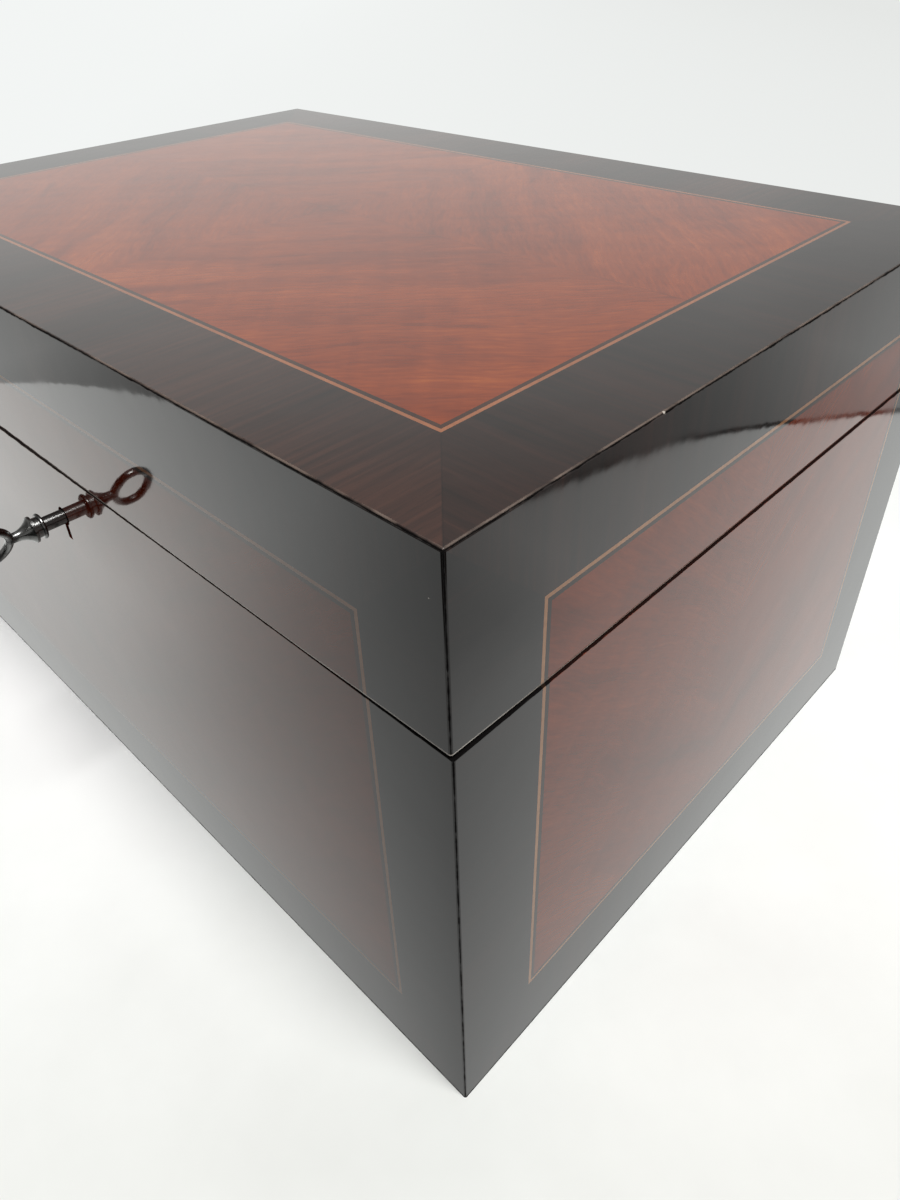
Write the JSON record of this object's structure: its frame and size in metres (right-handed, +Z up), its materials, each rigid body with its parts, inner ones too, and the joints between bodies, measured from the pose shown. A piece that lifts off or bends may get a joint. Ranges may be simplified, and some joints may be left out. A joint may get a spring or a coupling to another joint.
{
  "type": "antique glove box",
  "caption": "Veneered wooden box with a hinged lid, crossbanded and strung faces, a padded lining and a link lock worked by its key.",
  "frame": {"origin": "middle of the underside, on the surface the box stands on", "axes": "+Z up, front with the keyhole faces -Y, +X to the right seen from the front"},
  "size_m": [0.3005, 0.2353, 0.168],
  "materials": {
    "figured_veneer": "French polish, high gloss",
    "banding": "French polish, high gloss",
    "light_string": "French polish, high gloss",
    "dark_string": "French polish, high gloss",
    "rim_veneer": "polished",
    "carcass_wood": "bare, planed",
    "lining": "padded satin",
    "hinge_brass": "lightly tarnished",
    "lock_brass": "lightly tarnished",
    "lock_steel": "dull",
    "key_steel": "polished, worn"
  },
  "bodies": {
    "base": {"base_back_board": "carcass_wood", "base_back_crossbanding": "banding", "base_back_pad": "lining", "base_back_panel_veneer": "figured_veneer", "base_bottom_board": "carcass_wood", "base_dark_stringing": "dark_string", "base_floor_pad": "lining", "base_front_board": "carcass_wood", "base_front_crossbanding": "banding", "base_front_pad": "lining", "base_front_panel_veneer": "figured_veneer", "base_left_board": "carcass_wood", "base_left_crossbanding": "banding", "base_left_pad": "lining", "base_left_panel_veneer": "figured_veneer", "base_light_stringing": "light_string", "base_right_board": "carcass_wood", "base_right_crossbanding": "banding", "base_right_pad": "lining", "base_right_panel_veneer": "figured_veneer", "base_rim_veneer": "rim_veneer", "hinge_base_leaves": "hinge_brass", "hinge_base_screws": "hinge_brass", "hinge_pins": "hinge_brass", "lock_cap": "lock_brass", "lock_cap_screws": "lock_steel", "lock_drill_pin": "lock_steel", "lock_pillars": "lock_brass", "lock_plate": "lock_brass", "lock_screws": "lock_steel", "lock_spring": "lock_steel", "lock_studs": "lock_steel"},
    "lid": {"hinge_lid_leaves": "hinge_brass", "hinge_lid_screws": "hinge_brass", "lid_back_board": "carcass_wood", "lid_back_crossbanding": "banding", "lid_back_panel_veneer": "figured_veneer", "lid_ceiling_pad": "lining", "lid_dark_stringing": "dark_string", "lid_front_board": "carcass_wood", "lid_front_crossbanding": "banding", "lid_front_panel_veneer": "figured_veneer", "lid_left_board": "carcass_wood", "lid_left_crossbanding": "banding", "lid_left_panel_veneer": "figured_veneer", "lid_light_stringing": "light_string", "lid_right_board": "carcass_wood", "lid_right_crossbanding": "banding", "lid_right_panel_veneer": "figured_veneer", "lid_rim_veneer": "rim_veneer", "lid_top_board": "carcass_wood", "lid_top_crossbanding": "banding", "lid_top_panel_veneer": "figured_veneer", "lid_wall_pads": "lining", "lock_link_plate": "lock_brass", "lock_link_screws": "lock_steel"},
    "key": {"key": "key_steel"},
    "bolt": {"lock_bolt": "lock_brass"}
  },
  "joints": [
    {"name": "lid_hinge", "type": "hinge", "parent": "base", "child": "lid", "pos_m": [0, 0.1, 0.125], "axis": [-1, 0, 0], "range_deg": [0, 100]},
    {"name": "key_turn", "type": "hinge", "parent": "base", "child": "key", "pos_m": [0, -0.1, 0.1073], "axis": [0, -1, 0], "range_deg": [0, 56]},
    {"name": "bolt_slide", "type": "slide", "parent": "base", "child": "bolt", "axis": [-1, 0, 0], "range_m": [0, 0.00592]}
  ],
  "couplings": [
    {"joint": "key_turn", "follows": "bolt_slide", "rad_per_m": 165.23}
  ]
}
